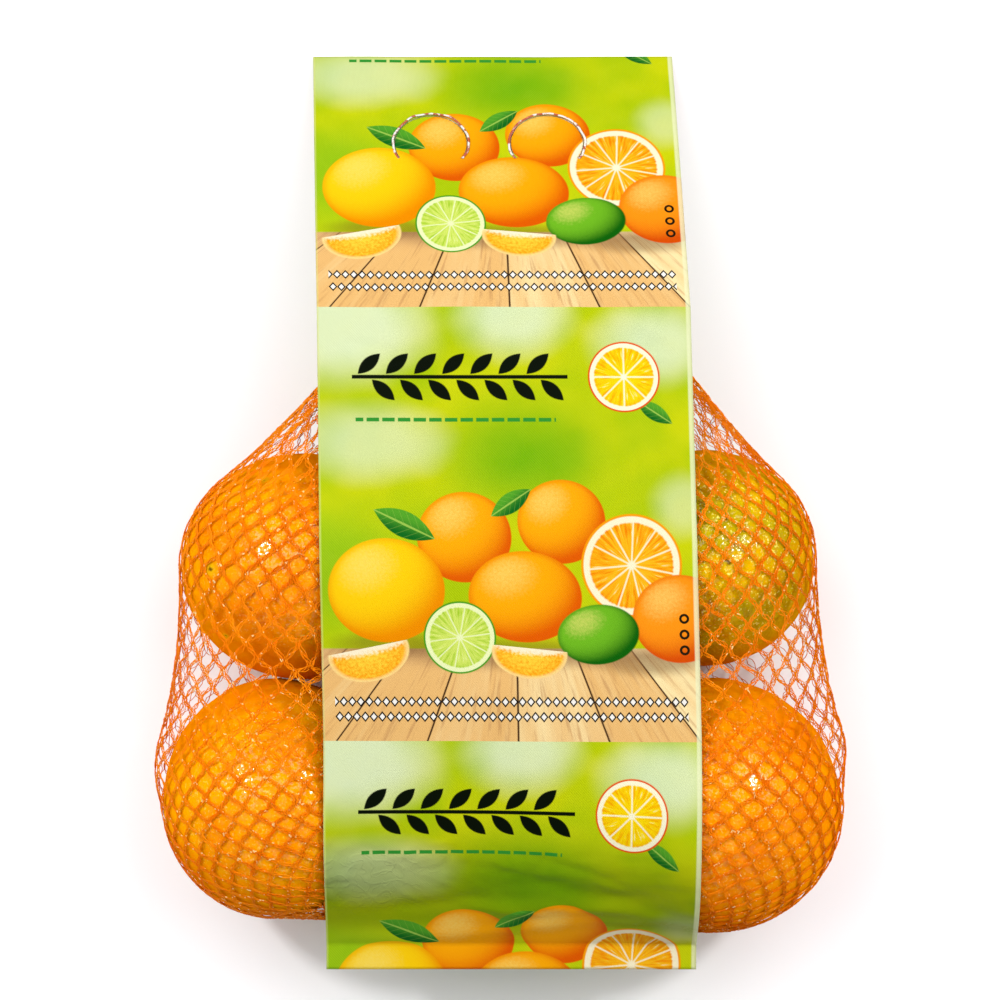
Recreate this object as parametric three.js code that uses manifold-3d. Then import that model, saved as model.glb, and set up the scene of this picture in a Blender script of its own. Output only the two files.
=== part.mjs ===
// A net of oranges lying on its back: five oranges in a knitted tube of netting, and a band of
// printed film over the front and the back. The two films are welded to each other above the
// netting, as a flat header with two finger holes, and below it, as a short tab.
//
// Millimetres. +X runs across the bag, +Y along it from the tab to the header, and +Z up off
// the table. The origin is on the table, under the middle of the whole bag.

import * as THREE from "three";
import { mergeVertices } from "three/addons/utils/BufferGeometryUtils.js";
import Module from "manifold-3d";

// ---- Driving dimensions ----

// The oranges: where the middle of each stands on the table, and its half sizes.
const ORANGES = [
  { name: "upper_left", x: -64.0, y: -19.1, half: [40.4, 37.1, 38.0] },
  { name: "upper_right", x: 66.5, y: -16.8, half: [36.1, 35.8, 36.0] },
  { name: "lower_left", x: -75.6, y: -95.0, half: [34.6, 38.8, 37.5] },
  { name: "lower_right", x: 68.8, y: -96.9, half: [42.3, 41.2, 40.0] },
  { name: "middle", x: 0.0, y: -60.0, half: [36.0, 36.0, 37.5] },
];
const UNDER_FRUIT = 1.6; // film and netting between an orange and the table

// Slack netting stands off the outer sides of the two lower oranges as pockets of these places
// and half sizes.
const POCKETS = [
  { x: -73.0, y: -85.0, z: 39.0, half: [39.4, 37.0, 30.0] },
  { x: 70.0, y: -80.0, z: 41.0, half: [42.0, 33.0, 30.0] },
];

const NET_THICKNESS = 1.0;
const NET_FLOOR = 0.9; // the netting lies on the back film, so it stays this far off the table
const NET_TO_FILM = 1.3; // from the netting's face to the middle of a film
const NET_TOP = { x: 4.4, y: 60.5, z: 59.2, halfWidth: 42.5, slant: 0.0 };
const NET_BOTTOM = { x: 4.8, y: -136.4, z: 45.2, halfWidth: 55.0, slant: -0.036 };
const GATHER_HALF_THICKNESS = 0.8;
const NET_AXIS = { x: 0.0, top: -18.0, bottom: -96.0, z: 41.0 };
const NET_SECTION = { halfStraight: 66.0, radius: 42.0 };
const CAP_PART = 0.36; // the share of the tube's rows that closes towards each gather
const NET_COLUMNS = 64;
const NET_ROWS = 32;
const HOOP_PULL = 0.16; // how hard the netting pulls around the tube, against 1 along it
const NET_ROUNDS = 900;
const NET_SLACK = 12.0; // how far outside the fruit the tube starts before it is drawn tight

// Beside the band the netting is empty between the oranges and next to the gathers. There the
// solid is drawn in towards a web, which lies at these heights along the bag.
const WEB_LINE = [
  { y: 60.5, z: 59.2 },
  { y: -18.0, z: 40.0 },
  { y: -96.0, z: 40.0 },
  { y: -136.4, z: 45.2 },
];
const WEB_HALF_THICKNESS = 3.0;
const DRAWN_IN = 0.8; // the share of the empty space that is taken out
const DRAWN_OFF_FRUIT = 2.2; // from the peel to the solid's face where it is drawn in fully
const DRAWN_FROM = 20.0; // from the band's middle, where it starts to be drawn in
const DRAWN_FULLY = 52.0;

const BAND_WIDTH = 120.0;
const FILM_THICKNESS = 0.4;
const FILM_OFF_FRUIT = 1.9; // from an orange to the middle of the film, netting between them
const FILM_TO_FILM = 1.0; // between the middles of the two films where they are welded
const FILM_EDGE_MARGIN = 6.0; // the netting keeps clear of a film this far past its edges too
const FILM_COLUMNS = 6;
const FILM_STEP = 7.6;
const FILM_ROUNDS = 400;
const CROSS_STIFFNESS = 0.6; // how hard the film stays straight across, against 1 along it

// Stations of the film band along the bag.
const HEADER_EDGE = { y: 150.25, z: 1.2 };
const HEADER_FOOT = { y: 64.0, z: 61.0 };
const HEADER_BOW = 2.0;
const TAB_TOP = { y: -141.0, z: 46.0 };
const TAB_EDGE = { y: -150.25, z: 44.5 };
const BACK_LIES_FROM = 4.0;
const BACK_LIES_TO = -112.0;

// Before they are drawn tight, the front film stands over the fruit as an arch and the back
// film turns up to the tab round one corner.
const FRONT_ARCH = { from: 30.0, to: -120.0, z: 92.0 };
const BACK_CORNER = { y: -138.0, z: 12.0 };

// The band runs a little askew: the x of its middle line at four places along the bag.
const BAND_LINE = [
  { y: 150.25, x: -2.75 },
  { y: 64.0, x: 0.9 },
  { y: -75.0, x: 3.7 },
  { y: -150.25, x: 3.4 },
];

// Two finger holes are die cut through both films as slits, open arcs that leave a flap hinged
// at its lower side.
const FINGER_HOLES = [{ x: -23.0 }, { x: 15.2 }];
const FINGER_HOLE_Y = 119.5;
const FINGER_HOLE_RADIUS = 12.0;
const SLIT_WIDTH = 1.0;
const SLIT_FROM = THREE.MathUtils.degToRad(-32);
const SLIT_TO = THREE.MathUtils.degToRad(212);
const SLIT_STEPS = 10;
const CUTTER_LENGTH = 24.0;

const SAME_POINT = 1e-4; // vertices nearer than this are one

// ---- Small helpers ----

const lerp = THREE.MathUtils.lerp;

/** The value that a line of stations along the bag has at y. */
function alongLine(stations, key, y) {
  const below = stations.findIndex((station) => station.y <= y);
  const next = below < 0 ? stations.length - 1 : Math.max(1, below);
  const from = stations[next - 1];
  const to = stations[next];
  const part = THREE.MathUtils.clamp((from.y - y) / (from.y - to.y), 0, 1);
  return lerp(from[key], to[key], part);
}

/** The x of the band's middle line at a place along the bag. */
function bandMiddle(y) {
  return alongLine(BAND_LINE, "x", y);
}

/** A rounded body as a middle point and half sizes. */
function ellipsoid({ x, y, half }, z) {
  return { middle: new THREE.Vector3(x, y, z), half: new THREE.Vector3(...half) };
}

const FRUIT = ORANGES.map((orange) => ellipsoid(orange, orange.half[2] + UNDER_FRUIT));
const IN_NET = [...FRUIT, ...POCKETS.map((pocket) => ellipsoid(pocket, pocket.z))];

/** Moves a point straight out of a body that is grown all round by a clearance. */
function pushOut(point, body, clearance) {
  const grown = body.half.clone().addScalar(clearance);
  const inside = point.clone().sub(body.middle).divide(grown);
  const depth = inside.length();
  if (depth < 1) {
    point.copy(inside.divideScalar(depth).multiply(grown).add(body.middle));
  }
}

/** A closed geometry from a list of points and a list of corner triples. */
function closedGeometry(points, corners) {
  const geometry = new THREE.BufferGeometry();
  geometry.setFromPoints(points);
  geometry.setIndex(corners.flat());
  return geometry;
}

// ---- The film band ----

/** The header's middle line in side view, from its edge (0) to its foot (1). */
function headerLine(part) {
  const bow = HEADER_BOW * Math.sin(Math.PI * part);
  return {
    y: lerp(HEADER_EDGE.y, HEADER_FOOT.y, part),
    z: lerp(HEADER_EDGE.z, HEADER_FOOT.z, part) + bow,
  };
}

/** Points about a step apart along straight runs between stations, with no point twice. */
function sampleRuns(stations) {
  const line = [stations[0]];
  for (let i = 1; i < stations.length; i += 1) {
    const from = stations[i - 1];
    const to = stations[i];
    const steps = Math.max(1, Math.round(Math.hypot(to.y - from.y, to.z - from.z) / FILM_STEP));
    for (let k = 1; k <= steps; k += 1) {
      line.push({
        y: lerp(from.y, to.y, k / steps),
        z: lerp(from.z, to.z, k / steps),
        held: Boolean(from.held && to.held) || (k === steps && Boolean(to.held)),
      });
    }
  }
  return line;
}

/** The header in side view, held in place, lowered by a drop for the film behind. */
function heldHeader(drop) {
  const steps = Math.round((HEADER_EDGE.y - HEADER_FOOT.y) / FILM_STEP);
  const line = [];
  for (let k = 0; k <= steps; k += 1) {
    const point = headerLine(k / steps);
    line.push({ y: point.y, z: point.z - drop, held: true });
  }
  return line;
}

/**
 * Lays a film over the fruit: the side view is swept across the band, and every point that
 * isn't held is drawn tight along the bag and kept out of the fruit and off the table.
 */
function drapeFilm(sideView) {
  const lowest = FILM_THICKNESS / 2;
  const rows = sideView.map(({ y, z }) => {
    const row = [];
    for (let k = 0; k <= FILM_COLUMNS; k += 1) {
      const across = (k / FILM_COLUMNS - 0.5) * BAND_WIDTH;
      row.push(new THREE.Vector3(bandMiddle(y) + across, y, z));
    }
    return row;
  });
  for (let round = 0; round < FILM_ROUNDS; round += 1) {
    for (let i = 1; i < rows.length - 1; i += 1) {
      if (sideView[i].held) {
        continue;
      }
      for (let k = 0; k <= FILM_COLUMNS; k += 1) {
        const point = rows[i][k];
        const left = rows[i][Math.max(0, k - 1)];
        const right = rows[i][Math.min(FILM_COLUMNS, k + 1)];
        const along = rows[i - 1][k].clone().add(rows[i + 1][k]);
        const across = left.clone().add(right).multiplyScalar(CROSS_STIFFNESS);
        const target = along.add(across).divideScalar(2 + 2 * CROSS_STIFFNESS);
        point.set(point.x, target.y, target.z);
        FRUIT.forEach((orange) => pushOut(point, orange, FILM_OFF_FRUIT));
        point.x = bandMiddle(point.y) + (k / FILM_COLUMNS - 0.5) * BAND_WIDTH;
        point.z = Math.max(point.z, lowest);
      }
    }
  }
  return rows;
}

/** The front film runs from the header over the fruit and down to the tab. */
function frontRows() {
  return drapeFilm([
    ...heldHeader(0),
    ...sampleRuns([
      { ...HEADER_FOOT, held: true },
      { y: FRONT_ARCH.from, z: FRONT_ARCH.z },
      { y: FRONT_ARCH.to, z: FRONT_ARCH.z },
      { ...TAB_TOP, held: true },
      { ...TAB_EDGE, held: true },
    ]).slice(1),
  ]);
}

/** The back film runs from the header down to the table, along it, and up to the tab. */
function backRows() {
  const lies = FILM_THICKNESS / 2;
  return drapeFilm([
    ...heldHeader(FILM_TO_FILM),
    ...sampleRuns([
      { y: HEADER_FOOT.y, z: HEADER_FOOT.z - FILM_TO_FILM, held: true },
      { y: BACK_LIES_FROM, z: lies, held: true },
      { y: BACK_LIES_TO, z: lies, held: true },
      BACK_CORNER,
      { y: TAB_TOP.y, z: TAB_TOP.z - FILM_TO_FILM, held: true },
      { y: TAB_EDGE.y, z: TAB_EDGE.z - FILM_TO_FILM, held: true },
    ]).slice(1),
  ]);
}

/** A film's solid: its rows of middle points thickened by half the film to each side. */
function filmGeometry(rows) {
  const lastRow = rows.length - 1;
  const faces = [[], []];
  for (let i = 0; i <= lastRow; i += 1) {
    for (let k = 0; k <= FILM_COLUMNS; k += 1) {
      const along = rows[Math.max(0, i - 1)][k].clone().sub(rows[Math.min(lastRow, i + 1)][k]);
      const across = rows[i][Math.min(FILM_COLUMNS, k + 1)].clone();
      across.sub(rows[i][Math.max(0, k - 1)]);
      const normal = across.cross(along).normalize().multiplyScalar(FILM_THICKNESS / 2);
      faces[0].push(rows[i][k].clone().add(normal));
      faces[1].push(rows[i][k].clone().sub(normal));
    }
  }
  const stride = FILM_COLUMNS + 1;
  const under = faces[0].length;
  const corners = [];
  const quad = (a, b, c, d) => corners.push([a, b, c], [a, c, d]);
  for (let i = 0; i < lastRow; i += 1) {
    for (let k = 0; k < FILM_COLUMNS; k += 1) {
      const a = i * stride + k;
      quad(a, a + stride, a + stride + 1, a + 1);
      quad(under + a, under + a + 1, under + a + stride + 1, under + a + stride);
    }
    const left = i * stride;
    const right = left + FILM_COLUMNS;
    quad(left, under + left, under + left + stride, left + stride);
    quad(right, right + stride, under + right + stride, under + right);
  }
  for (let k = 0; k < FILM_COLUMNS; k += 1) {
    const end = lastRow * stride + k;
    quad(k, k + 1, under + k + 1, under + k);
    quad(end, under + end, under + end + 1, end + 1);
  }
  return closedGeometry([...faces[0], ...faces[1]], corners);
}

/** The cutter of one finger hole: an arc slit, pushed square through the header. */
function slitGeometry({ x }) {
  const shape = new THREE.Shape();
  const outer = FINGER_HOLE_RADIUS + SLIT_WIDTH / 2;
  const inner = FINGER_HOLE_RADIUS - SLIT_WIDTH / 2;
  const corner = (radius, step) => {
    const angle = lerp(SLIT_FROM, SLIT_TO, step / SLIT_STEPS);
    return [radius * Math.cos(angle), radius * Math.sin(angle)];
  };
  shape.moveTo(...corner(outer, 0));
  for (let step = 1; step <= SLIT_STEPS; step += 1) {
    shape.lineTo(...corner(outer, step));
  }
  for (let step = SLIT_STEPS; step >= 0; step -= 1) {
    shape.lineTo(...corner(inner, step));
  }
  const geometry = new THREE.ExtrudeGeometry(shape, { depth: CUTTER_LENGTH, bevelEnabled: false });
  const slope = Math.atan2(HEADER_FOOT.z - HEADER_EDGE.z, HEADER_EDGE.y - HEADER_FOOT.y);
  const part = (HEADER_EDGE.y - FINGER_HOLE_Y) / (HEADER_EDGE.y - HEADER_FOOT.y);
  geometry.translate(0, 0, -CUTTER_LENGTH / 2);
  geometry.rotateX(-slope);
  geometry.translate(x, FINGER_HOLE_Y, headerLine(part).z);
  return geometry;
}

// ---- The netting and what it holds ----

/** The height of a film over a place on the table, or null where the film isn't. */
function filmHeight(rows, x, y) {
  const across = (x - bandMiddle(y)) / BAND_WIDTH + 0.5;
  if (Math.abs(across - 0.5) > 0.5 + FILM_EDGE_MARGIN / BAND_WIDTH) {
    return null;
  }
  const column = THREE.MathUtils.clamp(across, 0, 1) * FILM_COLUMNS;
  const k = Math.min(FILM_COLUMNS - 1, Math.floor(column));
  const point = (i) => rows[i][k].clone().lerp(rows[i][k + 1], column - k);
  for (let i = 1; i < rows.length; i += 1) {
    const after = point(i);
    if (after.y <= y) {
      const before = point(i - 1);
      return lerp(before.z, after.z, (before.y - y) / (before.y - after.y));
    }
  }
  return null;
}

/**
 * One column of the tube on its unstretched section, which is a long hole: where the column
 * starts across the bag, the way it faces, and how far across and up it is, each from -1 to 1.
 */
function column(k) {
  const arc = Math.PI * NET_SECTION.radius;
  const straight = 2 * NET_SECTION.halfStraight;
  const place = (k / NET_COLUMNS) * 2 * (arc + straight) + arc / 2;
  const half = Math.floor(place / (arc + straight));
  const rest = place - half * (arc + straight);
  const turned = Math.min(rest, arc) / NET_SECTION.radius - Math.PI / 2 + half * Math.PI;
  const slid = Math.max(0, rest - arc) - NET_SECTION.halfStraight;
  const start = half % 2 === 0 ? -slid : slid;
  const facing = new THREE.Vector3(Math.cos(turned), 0, Math.sin(turned));
  const reach = NET_SECTION.halfStraight + NET_SECTION.radius;
  return { start, facing, across: (start + NET_SECTION.radius * facing.x) / reach, up: facing.z };
}

/** A point of a gathered end, where the tube is pressed flat between the films. */
function gatherPoint({ x, y, z, halfWidth, slant }, { across, up }) {
  const out = halfWidth * across;
  return new THREE.Vector3(x + out, y + slant * out, z + GATHER_HALF_THICKNESS * up);
}

/**
 * The line that one knot of the netting can slide on, from the middle of the bag outwards. The
 * lines stand square to the bag's axis beside the fruit, and lean over towards the gathers.
 */
function knotLine(row, k) {
  const place = column(k);
  const fromTop = row / NET_ROWS;
  const along = THREE.MathUtils.clamp((fromTop - CAP_PART) / (1 - 2 * CAP_PART), 0, 1);
  const y = lerp(NET_AXIS.top, NET_AXIS.bottom, along);
  const origin = new THREE.Vector3(NET_AXIS.x + place.start, y, NET_AXIS.z);
  const gather = fromTop < 0.5 ? NET_TOP : NET_BOTTOM;
  const lean = Math.max(0, 1 - Math.min(fromTop, 1 - fromTop) / CAP_PART);
  const end = gatherPoint(gather, place).sub(origin);
  const full = place.facing.angleTo(end);
  const turned = Math.sin(lean * full) / Math.sin(full);
  const kept = Math.sin((1 - lean) * full) / Math.sin(full);
  const direction = end.clone().normalize().multiplyScalar(turned);
  direction.addScaledVector(place.facing, kept).normalize();
  return { origin, direction, end: end.length() };
}

/** How far out along a line a grown body still reaches, or 0 where the line misses it. */
function reachOf(body, clearance, { origin, direction }) {
  const grown = body.half.clone().addScalar(clearance);
  const from = origin.clone().sub(body.middle).divide(grown);
  const step = direction.clone().divide(grown);
  const a = step.dot(step);
  const b = from.dot(step);
  const root = b * b - a * (from.dot(from) - 1);
  return root < 0 ? 0 : Math.max(0, (Math.sqrt(root) - b) / a);
}

/** Draws the tube tight over the fruit, between the films and off the table. */
function drapeNet(front, back) {
  const knots = [];
  for (let i = 0; i <= NET_ROWS; i += 1) {
    knots.push([]);
    for (let k = 0; k < NET_COLUMNS; k += 1) {
      const line = knotLine(i, k);
      const held = i === 0 || i === NET_ROWS;
      const least = Math.max(...IN_NET.map((body) => reachOf(body, NET_THICKNESS, line)));
      const out = held ? line.end : least + NET_SLACK;
      const point = line.origin.clone().addScaledVector(line.direction, out);
      knots[i].push({ ...line, least, point });
    }
  }
  for (let round = 0; round < NET_ROUNDS; round += 1) {
    for (let i = 1; i < NET_ROWS; i += 1) {
      for (let k = 0; k < NET_COLUMNS; k += 1) {
        const { origin, direction, least, point } = knots[i][k];
        const above = knots[i - 1][k].point;
        const below = knots[i + 1][k].point;
        const next = knots[i][(k + 1) % NET_COLUMNS].point;
        const last = knots[i][(k + NET_COLUMNS - 1) % NET_COLUMNS].point;
        const drawn = next.clone().add(last).multiplyScalar(HOOP_PULL).add(above).add(below);
        drawn.divideScalar(2 + 2 * HOOP_PULL).sub(origin);
        const normal = next.clone().sub(last).cross(above.clone().sub(below)).normalize();
        const out = Math.max(least, drawn.dot(normal) / direction.dot(normal));
        point.copy(origin).addScaledVector(direction, out);
      }
    }
  }
  return knots.map((ring) => ring.map(({ point }) => underFilms(drawnIn(point), front, back)));
}

/** A point of the netting drawn in towards the web, where no orange holds it out. */
function drawnIn(point) {
  const web = alongLine(WEB_LINE, "z", point.y);
  const side = Math.sign(point.z - web);
  let filled = WEB_HALF_THICKNESS;
  FRUIT.forEach(({ middle, half }) => {
    const grown = half.clone().addScalar(DRAWN_OFF_FRUIT);
    const across = (point.x - middle.x) / grown.x;
    const along = (point.y - middle.y) / grown.y;
    const reach = grown.z * Math.sqrt(Math.max(0, 1 - across * across - along * along));
    if (reach > 0) {
      filled = Math.max(filled, side * (middle.z - web) + reach);
    }
  });
  const empty = Math.max(0, Math.abs(point.z - web) - filled);
  const fromMiddle = Math.abs(point.x - bandMiddle(point.y));
  const share = DRAWN_IN * THREE.MathUtils.smoothstep(fromMiddle, DRAWN_FROM, DRAWN_FULLY);
  return new THREE.Vector3(point.x, point.y, point.z - side * empty * share);
}

/** A point of the netting moved clear of the films and the table. */
function underFilms(point, front, back) {
  const ceiling = filmHeight(front, point.x, point.y) ?? Infinity;
  const floor = filmHeight(back, point.x, point.y) ?? -Infinity;
  const z = Math.max(Math.min(point.z, ceiling - NET_TO_FILM), floor + NET_TO_FILM, NET_FLOOR);
  return new THREE.Vector3(point.x, point.y, z);
}

/** The tube as a closed solid, with a fan over each gathered end. */
function netGeometry(rings) {
  const points = rings.flat();
  const corners = [];
  for (let i = 0; i < NET_ROWS; i += 1) {
    for (let k = 0; k < NET_COLUMNS; k += 1) {
      const next = (k + 1) % NET_COLUMNS;
      const a = i * NET_COLUMNS + k;
      const b = i * NET_COLUMNS + next;
      corners.push([a, b, b + NET_COLUMNS], [a, b + NET_COLUMNS, a + NET_COLUMNS]);
    }
  }
  [0, NET_ROWS].forEach((row) => {
    const middle = new THREE.Vector3();
    rings[row].forEach((point) => middle.add(point));
    const hub = points.push(middle.divideScalar(NET_COLUMNS)) - 1;
    for (let k = 0; k < NET_COLUMNS; k += 1) {
      const a = row * NET_COLUMNS + k;
      const b = row * NET_COLUMNS + ((k + 1) % NET_COLUMNS);
      corners.push(row === 0 ? [hub, b, a] : [hub, a, b]);
    }
  });
  return closedGeometry(points, corners);
}

// ---- Cutting ----

const wasm = await Module();
wasm.setup();

/** A geometry as a solid that can be cut. */
function toSolid(geometry) {
  const bare = geometry.clone();
  bare.deleteAttribute("normal");
  bare.deleteAttribute("uv");
  const merged = mergeVertices(bare, SAME_POINT);
  return new wasm.Manifold(
    new wasm.Mesh({
      numProp: 3,
      vertProperties: new Float32Array(merged.attributes.position.array),
      triVerts: new Uint32Array(merged.index.array),
    }),
  );
}

/** A cut solid back as a geometry. */
function fromSolid(solid) {
  const mesh = solid.getMesh();
  const geometry = new THREE.BufferGeometry();
  geometry.setAttribute("position", new THREE.BufferAttribute(mesh.vertProperties, 3));
  geometry.setIndex(new THREE.BufferAttribute(mesh.triVerts, 1));
  return geometry;
}

/** A film with both finger holes slit through it. */
function slitFilm(rows) {
  let film = toSolid(filmGeometry(rows));
  FINGER_HOLES.forEach((hole) => {
    film = film.subtract(toSolid(slitGeometry(hole)));
  });
  return fromSolid(film);
}

// ---- The bag ----

const netting = new THREE.MeshStandardMaterial({ color: 0xf08a1c, roughness: 0.5, metalness: 0 });
const frontPrint = new THREE.MeshStandardMaterial({ color: 0xb9d36a, roughness: 0.3, metalness: 0 });
const backPrint = new THREE.MeshStandardMaterial({ color: 0xa7c65a, roughness: 0.3, metalness: 0 });

/** One named piece of the bag. */
function piece(name, geometry, material) {
  geometry.computeVertexNormals();
  const mesh = new THREE.Mesh(geometry, material);
  mesh.name = name;
  return mesh;
}

const front = frontRows();
const back = backRows();

const group = new THREE.Group();
group.add(piece("net_of_oranges", netGeometry(drapeNet(front, back)), netting));
group.add(piece("film_front", slitFilm(front), frontPrint));
group.add(piece("film_back", slitFilm(back), backPrint));

export default group;
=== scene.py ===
import math

import bmesh
import bpy
import numpy as np
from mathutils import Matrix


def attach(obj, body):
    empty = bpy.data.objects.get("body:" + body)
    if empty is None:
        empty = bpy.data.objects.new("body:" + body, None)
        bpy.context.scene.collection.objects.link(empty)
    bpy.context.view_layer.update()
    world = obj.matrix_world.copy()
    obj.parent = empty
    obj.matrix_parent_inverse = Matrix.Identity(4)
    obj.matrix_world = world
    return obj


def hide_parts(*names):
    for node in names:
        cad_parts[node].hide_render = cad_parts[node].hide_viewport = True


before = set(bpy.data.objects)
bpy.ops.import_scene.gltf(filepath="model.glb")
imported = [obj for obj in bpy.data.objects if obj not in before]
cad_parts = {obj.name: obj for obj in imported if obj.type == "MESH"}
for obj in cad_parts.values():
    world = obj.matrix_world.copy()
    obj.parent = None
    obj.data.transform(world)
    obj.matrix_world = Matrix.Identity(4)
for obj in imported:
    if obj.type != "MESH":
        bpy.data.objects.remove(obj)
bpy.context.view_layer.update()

# ---- The camera ----
# A long lens straight above the bag, which lies on its back with the header away from the
# viewer. Lengths are in millimetres all through, and MM turns them into metres.

MM = 0.001
CAMERA_AT = (-0.25, 2.05, 1480.0)
SENSOR_WIDTH = 36.0
LENS = 159.16


def add_object(name, data):
    """A new object of the scene."""
    made = bpy.data.objects.new(name, data)
    bpy.context.scene.collection.objects.link(made)
    return made


camera_data = bpy.data.cameras.new("camera")
camera_data.sensor_width = SENSOR_WIDTH
camera_data.lens = LENS
camera = add_object("camera", camera_data)
camera.location = [value * MM for value in CAMERA_AT]
bpy.context.scene.camera = camera

# ---- The oranges ----
# Five ripe table oranges of waxed, finely pitted peel. They are loose in the net and wedged
# against each other; the middle one holds the film band up between the other four.

UNDER_FRUIT = 1.6  # film and netting between an orange and the table
# Each orange: where its middle stands on the table, its half sizes, the way its stem points, its
# two colours, how green and pebbly it is, how strong its painted highlights are, and where its
# spots are and how large.
ORANGES = {
    "upper_left": {
        "at": (-64.0, -19.4), "half": (40.4, 37.4, 38.0), "stem": (-0.35, 0.45, -0.82),
        "ripe": (251, 160, 0), "deep": (242, 135, 0), "green": 0.02,
        "pebbles": 0.4, "painted_glints": 0.2,
        "spots": [(-93.2, -20.0, 1.3), (-76.0, 9.0, 0.9), (-88.5, -42.0, 0.8)],
    },
    "upper_right": {
        "at": (66.5, -16.8), "half": (36.1, 35.8, 36.0), "stem": (0.42, -0.5, -0.76),
        "ripe": (222, 175, 2), "deep": (198, 138, 0), "green": 0.75,
        "pebbles": 1.6, "painted_glints": 0.75,
        "spots": [(72.5, -17.8, 1.4), (91.0, 6.5, 0.7), (84.0, 2.0, 0.5)],
    },
    "lower_left": {
        "at": (-72.7, -94.8), "half": (37.5, 39.1, 37.5), "stem": (-0.5, -0.4, -0.77),
        "ripe": (252, 171, 0), "deep": (247, 150, 0), "green": 0.0,
        "pebbles": 0.5, "painted_glints": 0.25,
        "spots": [(-90.0, -82.0, 0.6), (-66.0, -113.0, 0.5)],
    },
    "lower_right": {
        "at": (68.8, -96.9), "half": (42.3, 41.2, 40.0), "stem": (0.2, -0.62, -0.76),
        "ripe": (250, 154, 0), "deep": (241, 130, 0), "green": 0.0,
        "pebbles": 0.5, "painted_glints": 0.25,
        "spots": [(103.0, -101.0, 0.9), (80.0, -75.0, 0.5)],
    },
    "middle": {
        "at": (0.0, -60.0), "half": (36.0, 36.0, 37.5), "stem": (0.3, 0.2, -0.93),
        "ripe": (254, 168, 0), "deep": (246, 142, 0), "green": 0.1,
        "pebbles": 0.4, "painted_glints": 0.2,
        "spots": [],
    },
}
PEEL_SUBDIVISIONS = 6
DIMPLE_DEPTH = 1.7
DIMPLE_WIDTH = 0.13  # radians, seen from the middle of the orange
DIMPLE_FOLDS = 9
LUMP_HEIGHT = 0.35
PEEL_RELIEF = 0.16
CALYX_RADIUS = 3.4
SPOT_COLOUR = (92, 66, 10)
HALO_COLOUR = (222, 186, 14)
# painted shade: the deeper orange that the peel takes lower down
PAINTED_SHADE_COLOUR = (236, 110, 0)
# the colour of the painted highlights on the peel
PAINTED_GLINT_COLOUR = (255, 238, 120)
DULL_IOR, WAX_IOR = 1.0, 1.5
GREEN_COLOUR = (174, 162, 6)
CALYX_GREEN, CALYX_BROWN = (112, 118, 44), (92, 70, 30)
STUDIO_LIGHT = 1.25  # how bright a white surface that faces the viewer looks


def tint(colour, light=STUDIO_LIGHT):
    """A colour of 0 to 255 as it looks in the strong studio light, as a surface's own colour."""
    parts = [part / 255 for part in colour]
    linear = [p / 12.92 if p <= 0.04045 else ((p + 0.055) / 1.055) ** 2.4 for p in parts]
    return (*(value / light for value in linear), 1.0)


def math_node(operation, turned=False):
    """An operator of the class below: a Math node of this value and another, or turned round."""

    def combine(self, other):
        values = (other, self) if turned else (self, other)
        return self.node("Math", {"operation": operation}, dict(enumerate(values)))

    return combine


class Paint:
    """A shader socket that adds, multiplies and compares as a number does."""

    __add__ = __radd__ = math_node("ADD")
    __mul__ = __rmul__ = math_node("MULTIPLY")
    __sub__, __rsub__ = math_node("SUBTRACT"), math_node("SUBTRACT", True)
    __truediv__, __mod__ = math_node("DIVIDE"), math_node("FLOORED_MODULO")
    __gt__, __lt__ = math_node("GREATER_THAN"), math_node("LESS_THAN")

    def __init__(self, tree, socket=None):
        self.tree = tree
        self.socket = socket

    def node(self, kind, settings=None, sockets=None, out=0):
        """Adds a node: its type, its settings, and then the values or links of its sockets."""
        made = self.tree.nodes.new("ShaderNode" + kind)
        for name, value in (settings or {}).items():
            setattr(made, name, value)
        for name, value in (sockets or {}).items():
            if isinstance(value, Paint):
                self.tree.links.new(value.socket, made.inputs[name])
            else:
                made.inputs[name].default_value = value
        return Paint(self.tree, made.outputs[out] if made.outputs else None)

    def math(self, operation, *others):
        return self.node("Math", {"operation": operation}, dict(enumerate((self, *others))))

    def part(self, axis):
        """One of the numbers of a place: X, Y or Z."""
        return self.node("SeparateXYZ", {}, {0: self}, axis)

    def bump(self, depth):
        """The normal of a surface that stands up by this height times a depth in millimetres."""
        return self.node("Bump", {}, {"Height": self, "Distance": depth * MM})

    def rise(self, low, high):
        """0 below low, 1 above high and smooth between; it falls where low is the larger."""
        limits = {"Value": self, "From Min": low, "From Max": high}
        return self.node("MapRange", {"interpolation_type": "SMOOTHSTEP"}, limits)

    def mix(self, start, end):
        """Two colours mixed by this factor."""
        return self.node("Mix", {"data_type": "RGBA"}, {0: self, 6: start, 7: end}, 2)

    def noise(self, size, detail=2.0, rough=0.5):
        """Soft noise of 0 to 1 over this place, with patches of about a size in millimetres."""
        sockets = {"Vector": self, "Scale": 1 / (size * MM), "Detail": detail, "Roughness": rough}
        return self.node("TexNoise", {}, sockets)

    def __abs__(self):
        return self.math("ABSOLUTE")


def new_material(name, uv_map=None):
    """An empty node material, and the place on the piece, or in its UV map, that it is painted
    by."""
    material = bpy.data.materials.new(name)
    material.use_nodes = True
    material.node_tree.nodes.clear()
    paint = Paint(material.node_tree)
    if uv_map:
        return material, paint.node("UVMap", {"uv_map": uv_map})
    return material, paint.node("TexCoord", out="Object")


def finish_material(paint, sockets, share=None, changed=None):
    """Ends a material in one Principled shader with these values or links, and a second one with
    some of them changed over a share of the surface."""
    surface = paint.node("BsdfPrincipled", {}, sockets)
    if changed:
        second = paint.node("BsdfPrincipled", {}, sockets | changed)
        surface = paint.node("MixShader", {}, {0: share, 1: surface, 2: second})
    paint.node("OutputMaterial", {}, {"Surface": surface})


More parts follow.
